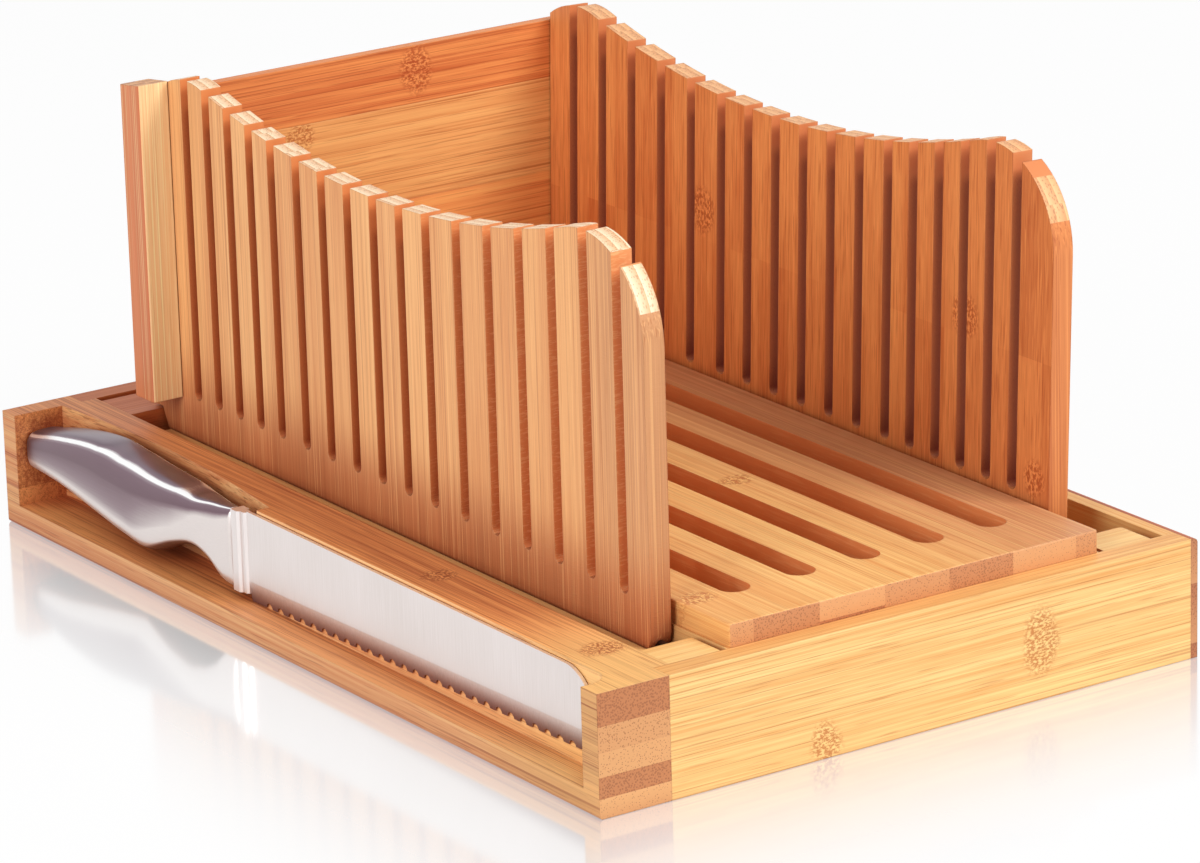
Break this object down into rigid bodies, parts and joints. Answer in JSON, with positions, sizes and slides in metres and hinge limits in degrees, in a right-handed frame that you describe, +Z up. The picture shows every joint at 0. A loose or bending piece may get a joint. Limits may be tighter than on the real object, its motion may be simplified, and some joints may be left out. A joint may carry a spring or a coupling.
{
  "type": "bread slicer guide",
  "caption": "Bamboo bread slicer: a slotted board between hinged comb guides, a lift-out backboard, a crumb-catching base, and a serrated knife stored in the base's side.",
  "frame": {"origin": "centre of the base's underside", "axes": "+Z up, +X to the right seen from the open front, +Y towards the backboard"},
  "size_m": [0.23, 0.36, 0.1604],
  "materials": {
    "bamboo_light": "oiled satin",
    "bamboo_mid": "oiled satin",
    "bamboo_dark": "oiled satin",
    "bamboo_red": "oiled satin",
    "pin_steel": "satin",
    "blade_steel": "satin",
    "handle_steel": "satin"
  },
  "bodies": {
    "base": {"knife_beam": "bamboo_mid", "front_rail": "bamboo_light", "rear_rail": "bamboo_light", "right_rail_ply": "bamboo_light", "right_rail_facing": "bamboo_red", "base_panel": "bamboo_mid", "left_ledge": "bamboo_light", "front_left_block": "bamboo_light", "rear_left_block": "bamboo_light", "front_right_block": "bamboo_light", "rear_right_block": "bamboo_light", "left_board_runner": "bamboo_light", "right_board_runner": "bamboo_light", "front_board_cleat": "bamboo_light", "rear_board_cleat": "bamboo_light"},
    "left_comb": {"left_guide": "bamboo_mid", "left_front_pin": "pin_steel", "left_rear_pin": "pin_steel"},
    "right_comb": {"right_guide": "bamboo_mid", "right_front_pin": "pin_steel", "right_rear_pin": "pin_steel"},
    "board": {"slotted_board": "bamboo_light"},
    "backboard": {"back_bottom_strip": "bamboo_dark", "back_middle_strip": "bamboo_light", "back_top_strip": "bamboo_dark", "left_stile": "bamboo_light", "right_stile": "bamboo_light"},
    "knife": {"knife_blade": "blade_steel", "knife_bolster": "blade_steel", "knife_handle": "handle_steel"}
  },
  "joints": [
    {"name": "board_lift", "type": "slide", "parent": "base", "child": "board", "axis": [0, 0, 1], "range_m": [0, 0.125]},
    {"name": "backboard_lift", "type": "slide", "parent": "board", "child": "backboard", "axis": [0, 0, 1], "range_m": [0, 0.115]},
    {"name": "knife_lift", "type": "slide", "parent": "base", "child": "knife", "axis": [0, 0, 1], "range_m": [0, 0.045]},
    {"name": "left_guide_fold", "type": "hinge", "parent": "base", "child": "left_comb", "pos_m": [-0.06685, 0, 0.035], "axis": [0, 1, 0], "range_deg": [0, 10]},
    {"name": "right_guide_fold", "type": "hinge", "parent": "base", "child": "right_comb", "pos_m": [0.08665, 0, 0.035], "axis": [0, -1, 0], "range_deg": [0, 8]}
  ]
}
